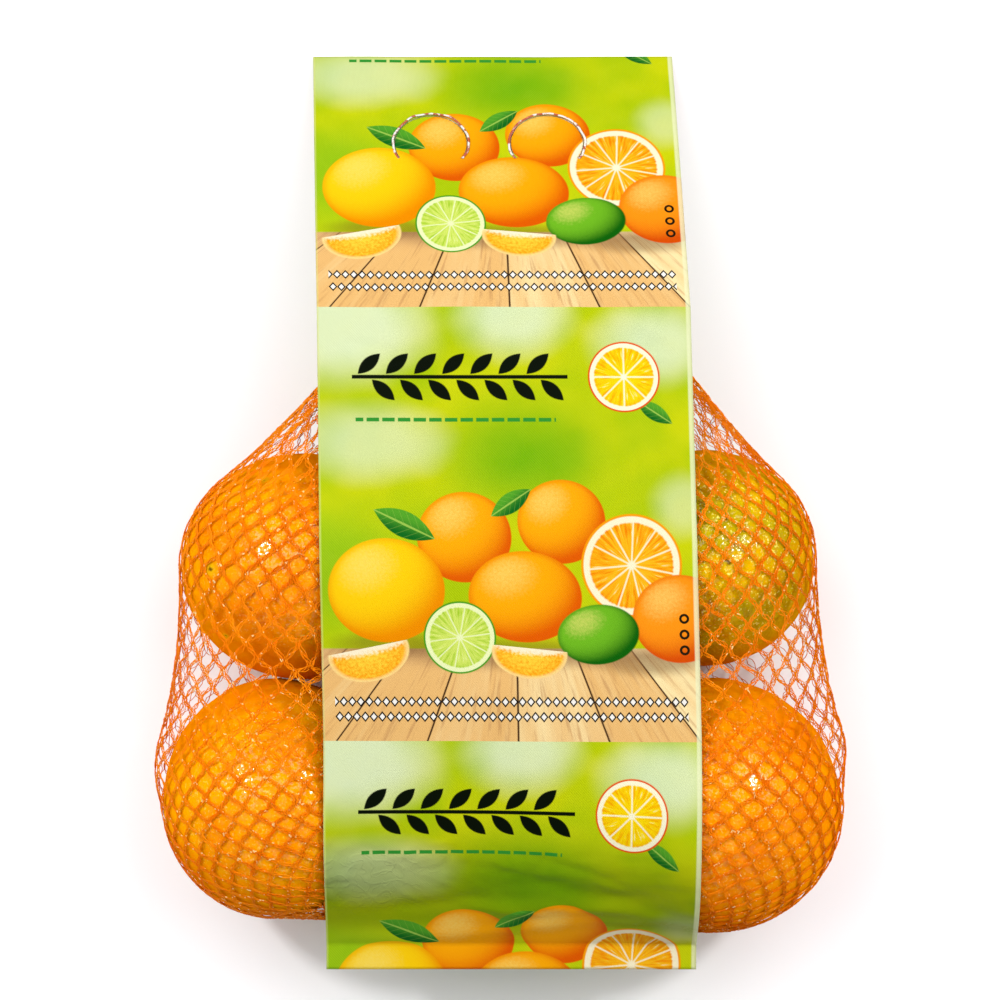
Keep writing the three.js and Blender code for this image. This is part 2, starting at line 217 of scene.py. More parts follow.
def rough_field(points, length, seed, waves=12):
    """A smooth random height of about -1 to 1 at each point, made of waves of about a length."""
    draw = np.random.default_rng(seed)
    total = np.zeros(points.shape[:-1])
    for _ in range(waves):
        way = draw.normal(size=points.shape[-1])
        way *= 2 * math.pi / (length * draw.uniform(0.7, 1.5) * np.linalg.norm(way))
        total += np.sin(points @ way + draw.uniform(0, 2 * math.pi))
    return total / math.sqrt(2 * waves)


def add_piece(name, points, faces, materials, node, kinds=None):
    """A smooth mesh of points in millimetres, which rides on the bag and stands for a node."""
    mesh = bpy.data.meshes.new(name)
    corners = faces.shape[1]
    mesh.vertices.add(len(points))
    mesh.vertices.foreach_set("co", (points * MM).astype(np.float32).ravel())
    mesh.loops.add(faces.size)
    mesh.loops.foreach_set("vertex_index", faces.astype(np.int32).ravel())
    mesh.polygons.add(len(faces))
    mesh.polygons.foreach_set("loop_start", np.arange(0, faces.size, corners, dtype=np.int32))
    if kinds is not None:
        mesh.polygons.foreach_set("material_index", kinds.astype(np.int32))
    mesh.polygons.foreach_set("use_smooth", np.ones(len(faces), bool))
    mesh.update(calc_edges=True)
    for material in materials:
        mesh.materials.append(material)
    piece = add_object(name, mesh)
    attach(piece, "root")
    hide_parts(node)
    return piece


def unit(vectors):
    return vectors / np.linalg.norm(vectors, axis=-1, keepdims=True)


def unit_sphere():
    """The points and triangles of an even sphere of radius 1."""
    sphere = bmesh.new()
    bmesh.ops.create_icosphere(sphere, subdivisions=PEEL_SUBDIVISIONS, radius=1.0)
    points = np.array([vertex.co for vertex in sphere.verts])
    faces = np.array([[vertex.index for vertex in face.verts] for face in sphere.faces])
    sphere.free()
    return points, faces


def fruit_middle(orange):
    return np.array([*orange["at"], orange["half"][2] + UNDER_FRUIT])


def orange_points(orange, sphere, seed):
    """The peel: lumpy, with a dimple and short folds round the stem."""
    stem = unit(np.array(orange["stem"]))
    side = unit(np.cross(stem, (0.0, 0.0, 1.0)))
    away = np.arccos(np.clip(sphere @ stem, -1, 1))
    around = np.arctan2(sphere @ side, sphere @ np.cross(stem, side))
    lumps = rough_field(sphere, 0.8, seed) + 0.3 * rough_field(sphere, 0.25, seed + 50)
    inwards = LUMP_HEIGHT * (1.3 - lumps)
    inwards += DIMPLE_DEPTH * np.exp(-((away / DIMPLE_WIDTH) ** 2))
    folds = np.exp(-(((away - 1.6 * DIMPLE_WIDTH) / (0.8 * DIMPLE_WIDTH)) ** 2))
    inwards += 0.3 * folds * (1 + np.cos(DIMPLE_FOLDS * around))
    grown = np.array(orange["half"]) - inwards[:, None]
    return fruit_middle(orange) + sphere * grown, away < CALYX_RADIUS / orange["half"][0]


def peel_material(name, orange):
    """Waxed peel: bright and deep orange in soft patches, with painted shade that deepens it lower
    down, painted highlights as pale specks near its top, oil pits, and a few dark spots in pale
    halos. Fine specks of its top shine with wax."""
    material, place = new_material(name)
    patches = place.noise(22, 3.0).rise(0.35, 0.65)
    freckles = place.noise(2.2, 2.0).rise(0.45, 0.75)
    colour = patches.mix(tint(orange["deep"]), tint(orange["ripe"]))
    colour = (freckles * 0.25).mix(colour, tint((255, 164, 18)))
    unripe = place.noise(26, 2.0).rise(0.42, 0.6) * orange["green"]
    colour = unripe.mix(colour, tint(GREEN_COLOUR))
    height = place.part("Z") / (fruit_middle(orange)[2] * MM)
    # painted shade: the peel turns deeper orange towards its bottom
    colour = (height.rise(1.8, 1.05) * 0.5).mix(colour, tint(PAINTED_SHADE_COLOUR))
    # painted highlights: pale specks near the top stand for sparkle on the wax
    painted_glints = place.noise(0.95, 1.0).rise(0.6, 0.68) * height.rise(1.4, 1.75) * orange["painted_glints"]
    colour = painted_glints.mix(colour, tint(PAINTED_GLINT_COLOUR))
    for x, y, radius in orange["spots"]:
        middle = fruit_middle(orange)
        part = [(x - middle[0]) / orange["half"][0], (y - middle[1]) / orange["half"][1]]
        up = math.sqrt(max(0.0, 1 - part[0] ** 2 - part[1] ** 2))
        spot = (x * MM, y * MM, (middle[2] + orange["half"][2] * up) * MM)
        away = place.node("VectorMath", {"operation": "DISTANCE"}, {0: place, 1: spot}, 1)
        ragged = away + place.noise(1.1, 3.0) * (1.6 * radius * MM)
        halo = ragged.rise(3.2 * radius * MM, 1.6 * radius * MM) * 0.6
        colour = halo.mix(colour, tint(HALO_COLOUR))
        speck = ragged.rise(1.9 * radius * MM, 1.1 * radius * MM) * 0.9
        colour = speck.mix(colour, tint(SPOT_COLOUR))
    pits = place.node("TexVoronoi", {}, {"Vector": place, "Scale": 1 / (1.3 * MM)})
    relief = pits.rise(0.05, 0.5) * 0.2 + place.noise(2.8, 1.0) * 1.9
    relief = relief + place.noise(1.3, 1.0) * orange["pebbles"]
    waxy = place.noise(1.3, 2.0).rise(0.49, 0.57) * height.rise(1.6, 1.85)
    finish_material(
        place,
        {
            "Base Color": colour,
            "Roughness": place.noise(8.0).rise(0.3, 0.7) * 0.06 + 0.09,
            "Normal": relief.bump(PEEL_RELIEF),
            "IOR": DULL_IOR,
            "Subsurface Weight": 0.55,
            "Subsurface Radius": (1.0, 0.4, 0.1),
            "Subsurface Scale": 3 * MM,
        },
        waxy,
        {"IOR": WAX_IOR},
    )
    return material


def mottled_material(name, pattern, start, end, roughness, depth):
    """Two colours mixed in a pattern, which also stands up by a depth."""
    material, place = new_material(name)
    mottle = pattern(place)
    finish_material(
        place,
        {
            "Base Color": mottle.mix(start, end),
            "Roughness": roughness,
            "Normal": mottle.bump(depth),
        },
    )
    return material


calyx = mottled_material(  # the dry green stem button
    "orange_calyx", lambda place: place.noise(1.2, 3.0).rise(0.35, 0.7),
    tint(CALYX_GREEN), tint(CALYX_BROWN), 0.7, 0.2,
)
sphere_points, sphere_faces = unit_sphere()
for number, (name, orange) in enumerate(ORANGES.items()):
    peel = peel_material("peel_" + name, orange)
    points, at_stem = orange_points(orange, sphere_points, number)
    kinds = at_stem[sphere_faces].all(axis=1)
    add_piece(
        "orange_" + name, points, sphere_faces, [peel, calyx],
        "net_of_oranges", kinds,
    )

# ---- The film band ----
# Two strips of thin printed film, one over the front of the fruit and one under its back. They
# are drawn tight, welded together as a header above the net and as a short tab below it, and
# two finger holes are die cut through the header as open arcs that leave a flap.

BAND_WIDTH = 120.0
FILM_THICKNESS = 0.2
FILM_OFF_FRUIT = 1.9  # from an orange to the middle of the film, netting between them
FILM_TO_FILM = 1.0
CROSS_STIFFNESS = 0.6
DRAPE_STEP = 7.6
DRAPE_COLUMNS = 6
DRAPE_ROUNDS = 1500
FRONT_STEP, BACK_STEP = 1.05, 1.6  # between the points of the finished films
FINE_ROUNDS = 90
HEADER_EDGE = (150.25, 1.2)
HEADER_FOOT = (64.0, 61.0)
HEADER_BOW = 2.0
HEADER_STEPS = round((HEADER_EDGE[0] - HEADER_FOOT[0]) / DRAPE_STEP)
TAB_TOP = (-141.0, 46.0)
TAB_EDGE = (-150.25, 44.5)
BAND_LINE_Y = (-150.25, -75.0, 64.0, 150.25)
BAND_LINE_X = (3.4, 3.7, 0.9, -2.75)


def band_middle(y):
    """The x of the band's middle line at a place along the bag."""
    return np.interp(y, BAND_LINE_Y, BAND_LINE_X)


def push_out(points, clearance):
    """Points moved straight out of every orange, grown all round by a clearance."""
    for orange in ORANGES.values():
        grown = np.array(orange["half"]) + clearance
        inside = (points - fruit_middle(orange)) / grown
        depth = np.linalg.norm(inside, axis=-1, keepdims=True)
        out = inside / np.maximum(depth, 1e-9) * grown + fruit_middle(orange)
        points = np.where(depth < 1, out, points)
    return points


def header_point(part):
    """A point of the flat header in side view, a part of the way from its edge to its foot."""
    y = HEADER_EDGE[0] + (HEADER_FOOT[0] - HEADER_EDGE[0]) * part
    z = HEADER_EDGE[1] + (HEADER_FOOT[1] - HEADER_EDGE[1]) * part
    return y, z + HEADER_BOW * np.sin(math.pi * part)


def side_view(stations, drop):
    """A film in side view: y, z and whether it is held, at points about a step apart. It starts
    with the header, and each station is the y and z that it goes to, and whether it is held."""
    y, z = header_point(np.linspace(0, 1, HEADER_STEPS + 1))
    line = [(*point, True) for point in zip(y, z - drop)]
    for to_y, to_z, held in stations:
        from_y, from_z, was_held = line[-1]
        steps = max(1, round(math.hypot(to_y - from_y, to_z - from_z) / DRAPE_STEP))
        for k in range(1, steps + 1):
            part = k / steps
            fixed = held and (was_held or k == steps)
            line.append((from_y + (to_y - from_y) * part, from_z + (to_z - from_z) * part, fixed))
    return line


def draw_tight(rows, held, rounds):
    """Draws the free rows of a film tight, and keeps them out of the fruit and off the table."""
    across = rows[:, :, 0] - band_middle(rows[:, :, 1])
    free = ~held[1:-1]
    for _ in range(rounds):
        inner = rows[1:-1]
        left = np.concatenate([inner[:, :1], inner[:, :-1]], axis=1)
        right = np.concatenate([inner[:, 1:], inner[:, -1:]], axis=1)
        target = rows[:-2] + rows[2:] + CROSS_STIFFNESS * (left + right)
        target /= 2 + 2 * CROSS_STIFFNESS
        moved = inner + 0.9 * (target - inner)
        moved[:, :, 0] = inner[:, :, 0]
        moved = push_out(moved, FILM_OFF_FRUIT)
        moved[:, :, 0] = band_middle(moved[:, :, 1]) + across[1:-1]
        moved[:, :, 2] = np.maximum(moved[:, :, 2], FILM_THICKNESS / 2)
        inner[free] = moved[free]
    return rows


def resample(values, places, wanted, axis):
    """Values along one axis of an array, at other places along it."""
    return np.apply_along_axis(lambda line: np.interp(wanted, places, line), axis, values)


def drape_film(line, fine_step):
    """The film's middle surface in rows from the header to the tab, how far along the film each
    row is from the header's foot, and how far across the band each column is."""
    y, z, held = (np.array(column) for column in zip(*line))
    across = np.linspace(-0.5, 0.5, DRAPE_COLUMNS + 1) * BAND_WIDTH
    rows = np.zeros((len(y), len(across), 3))
    rows[:, :, 0] = band_middle(y)[:, None] + across
    rows[:, :, 1] = y[:, None]
    rows[:, :, 2] = z[:, None]
    draw_tight(rows, held, DRAPE_ROUNDS)
    steps = np.linalg.norm(np.diff(rows[:, DRAPE_COLUMNS // 2], axis=0), axis=1)
    path = np.concatenate([[0], np.cumsum(steps)])
    fine_path = np.linspace(0, path[-1], round(path[-1] / fine_step) + 1)
    fine_across = np.linspace(-0.5, 0.5, round(BAND_WIDTH / fine_step) + 1) * BAND_WIDTH
    fine = resample(resample(rows, path, fine_path, 0), across, fine_across, 1)
    still = np.interp(fine_path, path, held.astype(float)) > 0.999
    draw_tight(fine, still, FINE_ROUNDS)
    return fine, fine_path - path[HEADER_STEPS], fine_across


front_line = side_view(
    [(30.0, 92.0, False), (-120.0, 92.0, False), (*TAB_TOP, True), (*TAB_EDGE, True)], 0.0
)
back_line = side_view(
    [
        (4.0, FILM_THICKNESS / 2, True),
        (-112.0, FILM_THICKNESS / 2, True),
        (-138.0, 12.0, False),
        (TAB_TOP[0], TAB_TOP[1] - FILM_TO_FILM, True),
        (TAB_EDGE[0], TAB_EDGE[1] - FILM_TO_FILM, True),
    ],
    FILM_TO_FILM,
)
front_film, front_path, front_across = drape_film(front_line, FRONT_STEP)
back_film, back_path, back_across = drape_film(back_line, BACK_STEP)

REPEAT = 140.0  # the print starts again after this length of film
FINGER_HOLES_X = (-23.0, 15.2)
FINGER_HOLE_Y = 119.5
FINGER_HOLE_RADIUS = 12.0
SLIT_WIDTH = 0.3
SLIT_FROM = math.radians(-32)
SLIT_TO = math.radians(212)
SLIT_STEPS = 48
CREASES = (  # number, region across and along the film, length, width, height and slant
    (14, (-60, 60, -4, 22), (12, 34), (1.5, 3), (0.1, 0.3), 0.5),
    (8, (-60, 60, -104, -70), (20, 60), (2, 4), (0.08, 0.2), 0.1),
    (16, (-60, 60, 180, 210), (20, 60), (1.6, 3.0), (0.15, 0.4), 0.3),
    (5, (-30, 30, 190, 206), (70, 120), (2.4, 4.0), (0.6, 1.0), 0.05),
    (40, (-60, -20, 172, 198), (6, 16), (0.9, 1.4), (0.12, 0.35), 1.1),
    (30, (-15, 60, 176, 200), (8, 26), (0.9, 1.5), (0.1, 0.28), 0.8),
)
WAVE_HEIGHT, WAVE_LENGTH = 0.25, 45.0
NET_ROOM = 1.45  # a film's folds stay this far off the fruit, for the netting
SLIT_DEPTH = 12.0  # of the tool that cuts a slit
LIP_WIDTH, LIP_HEIGHT, LIP_REACH, LIP_WAVER = 0.75, 0.35, 0.45, 0.24


def creases(across, path, seed, number, region, length, width, height, slant):
    """Short straight folds in a region of a film: how far they lift each point."""
    draw = np.random.default_rng(seed)
    lift = np.zeros(np.broadcast(across, path).shape)
    for _ in range(number):
        middle = draw.uniform(region[0], region[1]), draw.uniform(region[2], region[3])
        turn = draw.normal(0, slant)
        reach = draw.uniform(*length) / 2
        spread = draw.uniform(*width)
        along = (across - middle[0]) * math.cos(turn) + (path - middle[1]) * math.sin(turn)
        beside = (path - middle[1]) * math.cos(turn) - (across - middle[0]) * math.sin(turn)
        beside = beside + 0.12 * reach * np.sin(along / reach * 1.5 + draw.uniform(0, 6))
        fade = np.clip(1.3 - np.abs(along) / reach * 1.3, 0, 1)
        rise = draw.choice((-1, 1)) * draw.uniform(*height)
        lift += rise * fade * np.exp(-((beside / spread) ** 2))
    return lift


def film_relief(across, path, seed):
    """Where a film stands off its drape: it waves softly, puckers under the header where the net
    is gathered, and is crumpled where it turns down to the tab."""
    place = np.stack(np.broadcast_arrays(across, path), axis=-1)
    lift = WAVE_HEIGHT * rough_field(place, WAVE_LENGTH, seed)
    for number, crease in enumerate(CREASES, 1):
        lift += creases(across, path, seed + number, *crease)
    return lift


def film_normals(rows):
    return unit(np.cross(np.gradient(rows, axis=0), np.gradient(rows, axis=1)))


def finger_hole(hole_x):
    """The middle of a finger hole's arc, the way out of the header there, and the ways from the
    middle to each step of the arc. The arc is open on the side of the fruit."""
    turns = np.linspace(SLIT_FROM, SLIT_TO, SLIT_STEPS + 1)
    slope = (HEADER_FOOT[1] - HEADER_EDGE[1]) / (HEADER_EDGE[0] - HEADER_FOOT[0])
    normal = np.array([0.0, slope, 1.0]) / math.hypot(slope, 1.0)
    down = np.array([0.0, 1.0, -slope]) / math.hypot(slope, 1.0)
    part = (HEADER_EDGE[0] - FINGER_HOLE_Y) / (HEADER_EDGE[0] - HEADER_FOOT[0])
    middle = np.array([hole_x, *header_point(part)])
    out = np.cos(turns)[:, None] * (1.0, 0.0, 0.0) + np.sin(turns)[:, None] * down
    return middle, normal, out


def arc_bar(hole_x, profile, waver=0.0):
    """A closed bar round a finger hole's arc. Its profile is a list of reaches and heights, and
    it may waver in and out."""
    middle, normal, out = finger_hole(hole_x)
    count = len(profile)
    reach = FINGER_HOLE_RADIUS + waver * rough_field(out[:, :2], 0.5, int(hole_x + 50))[:, None]
    rings = [middle + out * (reach + aside) + normal * up for aside, up in profile]
    points = np.stack(rings, axis=1).reshape(-1, 3)
    start = count * np.arange(SLIT_STEPS)[:, None]
    a = (start + np.arange(count)).ravel()
    b = (start + (np.arange(count) + 1) % count).ravel()
    sides = np.stack([a, a + count, b + count, b], axis=1)
    ends = [(0, k, k + 1, k + 2) for k in range(1, count - 2, 2)]
    last = count * SLIT_STEPS
    ends += [(last, last + k + 2, last + k + 1, last + k) for k in range(1, count - 2, 2)]
    return points, np.concatenate([sides, ends])


def grid_faces(rows, columns):
    """The squares of a grid of points."""
    a = (np.arange(rows - 1)[:, None] * columns + np.arange(columns - 1)).ravel()
    return np.stack([a, a + columns, a + columns + 1, a + 1], axis=1)


def film_piece(name, rows, path, across, seed, amount, face_up, materials, node):
    """A film as a thin closed sheet, printed on its outer face, with the finger holes slit."""
    relief = film_relief(across[None, :], path[:, None], seed) * amount
    rows = push_out(rows + film_normals(rows) * relief[:, :, None], NET_ROOM)
    rows[:, :, 2] = np.maximum(rows[:, :, 2], FILM_THICKNESS / 2)
    half = film_normals(rows) * FILM_THICKNESS / 2
    count, columns = rows.shape[:2]
    points = np.concatenate([(rows + half).reshape(-1, 3), (rows - half).reshape(-1, 3)])
    under = count * columns
    upper = grid_faces(count, columns)
    edge = np.concatenate([
        np.arange(columns), np.arange(1, count) * columns + columns - 1,
        under - 2 - np.arange(columns - 1), np.arange(count - 2, 0, -1) * columns,
    ])
    after = np.roll(edge, -1)
    rim = np.stack([edge, after, after + under, edge + under], axis=1)
    faces = np.concatenate([upper, upper[:, ::-1] + under, rim])
    kinds = np.ones(len(faces), int)
    printed = slice(0, len(upper)) if face_up else slice(len(upper), 2 * len(upper))
    kinds[printed] = 0
    piece = add_piece(name, points, faces, materials, node, kinds)
    place = np.stack(np.broadcast_arrays(across + BAND_WIDTH / 2, path[:, None]), axis=-1)
    place = np.tile(place.reshape(-1, 2), (2, 1)) * MM
    corners = np.zeros(len(piece.data.loops), np.int32)
    piece.data.loops.foreach_get("vertex_index", corners)
    piece.data.uv_layers.new(name="print").data.foreach_set("uv", place[corners].ravel())
    cut_slits(piece)


def cut_slits(piece):
    """Cuts both finger holes' slits through a film."""
    side, tall = SLIT_WIDTH / 2, SLIT_DEPTH / 2
    profile = (-side, -tall), (side, -tall), (side, tall), (-side, tall)
    for hole_x in FINGER_HOLES_X:
        points, faces = arc_bar(hole_x, profile)
        mesh = bpy.data.meshes.new("slit")
        mesh.from_pydata((points * MM).tolist(), [], faces.tolist())
        cutter = add_object("slit", mesh)
        cut = piece.modifiers.new("slit", "BOOLEAN")
        cut.operation = "DIFFERENCE"
        cut.solver = "EXACT"
        cut.object = cutter
        view = bpy.context.evaluated_depsgraph_get()
        made = bpy.data.meshes.new_from_object(piece.evaluated_get(view))
        piece.modifiers.clear()
        piece.data = made
        bpy.data.objects.remove(cutter)


FLAT_LIGHT = 1.8  # how bright a white film that lies flat looks


def ink(colour):
    """A colour of 0 to 255 as it looks in print on the band."""
    return tint(colour, FLAT_LIGHT)


def oval(here, at, half, turn=0.0):
    """A place in an oval's own frame, and its distance from the middle, which is 1 at the edge."""
    x, t = here[:2]
    c, s = math.cos(turn), math.sin(turn)
    a = ((x - at[0]) * c + (t - at[1]) * s) / half[0]
    b = ((t - at[1]) * c - (x - at[0]) * s) / half[1]
    return a, b, (a * a + b * b).math("SQRT")


def soft_edge(distance, half):
    """1 inside an oval and 0 outside, with the softness of print."""
    blur = 0.25 / min(half)
    return distance.rise(1 + blur, 1 - blur)


def print_shadow(colour, here, at, half, turn):
    """Prints the soft shadow of a fruit on the boards. Here is the place on the film, and the
    grain of the print."""
    _, _, far = oval(here, at, half, turn)
    return (far.rise(1.15, 0.35) * 0.5).mix(colour, ink((96, 60, 30)))


def print_whole(colour, here, at, half, turn, bright, dark):
    """Prints a whole fruit with a pitted skin, lit from its upper left."""
    a, b, far = oval(here, at, half, turn)
    up = (1 - far * far).math("MAXIMUM", 0.0).math("SQRT")
    pits = (here[2] - 0.5) * 0.1
    lit = up * 0.78 - a * 0.36 - b * 0.48 + pits
    body = lit.rise(-0.15, 0.8).mix(ink(dark), ink(bright))
    shine = (lit + pits).rise(0.76, 1.12) * 0.6
    body = shine.mix(body, ink((255, 236, 128)))
    body = (far.rise(0.86, 1.0) * 0.3).mix(body, ink(dark))
    return soft_edge(far, half).mix(colour, body)


def print_slice(colour, here, at, half, turn, flesh, deep, pith, rind, parts):
    """Prints a cut fruit: rind, pith, and juicy flesh in wedges with pale walls."""
    a, b, far = oval(here, at, half, turn)
    around = b.math("ARCTAN2", a) * (parts / (2 * math.pi))
    wall = abs(around % 1.0 - 0.5)
    juice = far.node("CombineXYZ", {}, {0: around * 7.0, 1: far * 2.6})
    juice = juice.node("TexNoise", {}, {"Vector": juice, "Scale": 1.0, "Detail": 3.0})
    body = (juice + (1 - far) * 0.2).rise(0.32, 0.72).mix(ink(deep), ink(flesh))
    body = (juice.rise(0.6, 0.72) * 0.5).mix(body, ink(pith))
    body = (((0.5 - wall) * far).rise(0.045, 0.015) * 0.85).mix(body, ink(pith))
    body = (far + juice * 0.06).rise(0.84, 0.88).mix(body, ink(pith))
    body = far.rise(0.12, 0.04).mix(body, ink(pith))
    body = far.rise(0.94, 0.965).mix(body, ink(rind))
    return soft_edge(far, half).mix(colour, body)


def print_wedge(colour, here, at, half, turn):
    """Prints a peeled segment: half an oval of flesh with a ragged pale back."""
    a, b, far = oval(here, at, half, turn)
    ragged = b + (here[2] - 0.5) * 0.4 + a * a * 0.2
    body = (here[2] * 0.8 + far * 0.3).rise(0.35, 0.85)
    body = body.mix(ink((255, 214, 60)), ink((252, 158, 14)))
    body = ragged.rise(0.16, -0.1).mix(body, ink((255, 240, 205)))
    body = (far.rise(0.84, 0.98) * 0.7).mix(body, ink((255, 232, 160)))
    return (soft_edge(far, half) * (b > -0.2)).mix(colour, body)


def print_leaf(colour, here, at, half, turn, bright, dark):
    """Prints a pointed leaf with a pale rib and side veins."""
    a, b, _ = oval(here, at, half, turn)
    inside = (1 - a * a) - abs(b)
    body = (b + a * 0.3).rise(-0.7, 0.8).mix(ink(bright), ink(dark))
    veins = abs((a * 4.0 + abs(b) * 1.6) % 1.0 - 0.5).rise(0.42, 0.5) * 0.35
    veins = veins.math("MAXIMUM", (abs(b) + abs(a) * 0.04).rise(0.12, 0.05))
    body = (veins * 0.7).mix(body, ink((176, 212, 90)))
    return inside.rise(0.0, 0.4 / half[1]).mix(colour, body)


PATCHES = (  # the pale patches of the background: place, half sizes, and strength
    ((8, 6), (30, 20), 0.85),
    ((62, 2), (20, 14), 0.78),
    ((108, 12), (20, 14), 0.75),
    ((14, 44), (26, 13), 0.55),
    ((116, 64), (11, 10), 0.4),
)
ORANGE_SKIN = (255, 172, 8), (226, 92, 2)
RED_ORANGE_SKIN = (255, 150, 20), (216, 78, 6)
YELLOW_SKIN = (255, 208, 14), (240, 142, 0)
LIME_SKIN = (112, 184, 34), (14, 96, 10)
ORANGE_FLESH = (255, 190, 26), (244, 130, 0), (255, 244, 206), (250, 160, 10)
LIME_FLESH = (214, 232, 104), (164, 204, 44), (238, 246, 186), (70, 154, 26)
YELLOW_FLESH = (255, 222, 10), (248, 168, 4), (255, 250, 214), (232, 84, 16)
LEAF_GREEN = (84, 164, 40), (14, 104, 30)
HEAP = (  # from the back to the front: what is printed, its place, half sizes, turn and colours
    (print_whole, (46, 75), (15, 14.5), 0.1, *ORANGE_SKIN),
    (print_whole, (77, 70), (14, 13.5), 0.0, *ORANGE_SKIN),
    (print_leaf, (27, 71), (11, 4.4), 0.45, *LEAF_GREEN),
    (print_leaf, (61, 64), (8, 3.4), -0.6, *LEAF_GREEN),
    (print_slice, (99, 84), (16, 16.5), 0.2, *ORANGE_FLESH, 11),
    (print_shadow, (22, 109), (21, 5), 0.0),
    (print_shadow, (62, 112), (40, 6), 0.0),
    (print_shadow, (104, 115), (20, 5), 0.0),
    (print_whole, (21, 92), (18.5, 16.5), 0.0, *YELLOW_SKIN),
    (print_whole, (114, 101), (15, 14), 0.0, *RED_ORANGE_SKIN),
    (print_whole, (65, 94), (18, 14.5), 0.05, *ORANGE_SKIN),
    (print_whole, (88, 106), (13, 9.5), -0.1, *LIME_SKIN),
    (print_slice, (44, 107), (11.5, 11.5), 0.5, *LIME_FLESH, 10),
    (print_wedge, (66, 112), (12, 8), 0.1),
    (print_wedge, (15, 112), (13, 9), -0.2),
)
ROUND_SLICE = (  # with a leaf behind its lower right
    (print_leaf, (107.5, 34.5), (7, 2.8), 0.6, *LEAF_GREEN),
    (print_slice, (98, 23), (11.5, 11.5), 0.0, *YELLOW_FLESH, 8),
)
SPRIG_AT, LEAF_STEP = 23.0, 9.0
WEAVE_PITCH = 0.8


def print_colour(place, shift, thread, painted_shade):
    """The print of the band, which repeats along the film: soft greens that the weave shows
    through, a round slice and a dark sprig, a heap of citrus fruit, and a strip of boards with a
    border of small lozenges. Painted shade darkens it where the film turns down to the tab."""
    x = place.part("X") / MM
    t = (place.part("Y") / MM + shift) % REPEAT
    flat = place.node("CombineXYZ", {}, {0: x * MM, 1: t * MM})
    here = x, t, flat.noise(0.9, 2.0)
    cloud = flat.noise(30, 2.0)
    colour = cloud.rise(0.35, 0.65).mix(ink((200, 208, 4)), ink((164, 194, 2)))
    _, _, far = oval(here, (66, 49), (30, 20))
    colour = (far + (cloud - 0.5) * 0.9).rise(1.2, 0.1).mix(colour, ink((104, 174, 4)))
    _, _, far = oval(here, (6, 86), (32, 24))
    colour = far.rise(1.2, 0.2).mix(colour, ink((142, 190, 16)))
    for at, half, strength in PATCHES:
        _, _, far = oval(here, at, half)
        pale = (far + (cloud - 0.5) * 0.9).rise(1.25, 0.3) * strength
        colour = pale.mix(colour, ink((224, 238, 206)))
    colour = thread.mix(colour, ink((250, 250, 56)))
    # painted shade: a dark olive where the film turns down to the tab
    colour = painted_shade.mix(colour, ink((84, 116, 0)))
    # the boards, in a fan that narrows upwards, each of its own tone
    spread = (t - 62) / 2.7
    fan = (x - 62) / spread
    board = fan.math("FLOOR")
    tone = board.node("TexWhiteNoise", {"noise_dimensions": "1D"}, {"W": board})
    veins = place.node("CombineXYZ", {}, {0: fan * 9.0 + board * 5.3, 1: t * 0.035, 2: board})
    broad = veins.node("TexNoise", {}, {"Vector": veins, "Scale": 0.5, "Detail": 3.0})
    narrow = veins.node("TexNoise", {}, {"Vector": veins, "Scale": 2.2, "Detail": 3.0})
    wood = (broad * 0.7 + tone * 0.4).rise(0.35, 0.8)
    wood = wood.mix(ink((238, 188, 116)), ink((255, 230, 170)))
    wood = (narrow.rise(0.52, 0.72) * 0.5).mix(wood, ink((186, 134, 84)))
    gap = (0.5 - abs(fan - board - 0.5)) * spread
    wood = gap.rise(0.5, 0.12).mix(wood, ink((74, 46, 24)))
    wood = (t.rise(119, 111) * 0.5).mix(wood, ink((196, 150, 104)))
    colour = t.rise(110.2, 110.8).mix(colour, wood)
    for printed, *sizes in HEAP + ROUND_SLICE:
        colour = printed(colour, here, *sizes)
    # the dark sprig, with a fine dashed line under it
    lower = t > SPRIG_AT
    off_stem = abs(t - SPRIG_AT)
    run = (x - 12 + lower * (LEAF_STEP / 2)) / LEAF_STEP
    number = run.math("FLOOR")
    along = (run - number - 0.5) * LEAF_STEP
    a, b, _ = oval((along, off_stem - 4.3), (0, 0), (5.2, 2.3), 0.75)
    number = number - lower
    leaf = ((1 - a * a) - abs(b)).rise(0.0, 0.2) * (number > -0.5) * (number < 6.5)
    stem = off_stem.rise(0.8, 0.45) * (x > 11.0) * (x < 80.0)
    colour = leaf.math("MAXIMUM", stem).mix(colour, ink((10, 18, 6)))
    dashes = abs((x % 5.0) - 2.5).rise(2.1, 1.9) * abs(t - 37.0).rise(0.75, 0.5)
    colour = (dashes * (x > 12.0) * (x < 76.0)).mix(colour, ink((50, 148, 50)))
    # the border of lozenges, white with a dark outline
    for row, offset in ((127.4, 0.0), (132.2, 1.35)):
        lozenge = abs((x + offset) % 2.7 - 1.35) + abs(t - row) * 0.8
        inside = (x > 4.0) * (x < 116.0)
        colour = (lozenge.rise(1.5, 1.3) * inside).mix(colour, ink((24, 18, 14)))
        colour = (lozenge.rise(0.95, 0.75) * inside).mix(colour, ink((250, 246, 238)))
    # pale margins and three small rings at the right edge
    colour = (x.rise(118.2, 118.7) * 0.7).mix(colour, ink((240, 244, 196)))
    colour = (x.rise(0.8, 0.4) * 0.4).mix(colour, ink((246, 248, 150)))
    for ring_at in (101.0, 106.0, 111.0):
        _, _, far = oval(here, (115.3, ring_at), (1.0, 1.0))
        colour = abs(far - 1.2).rise(0.5, 0.3).mix(colour, ink((34, 26, 12)))
    return colour


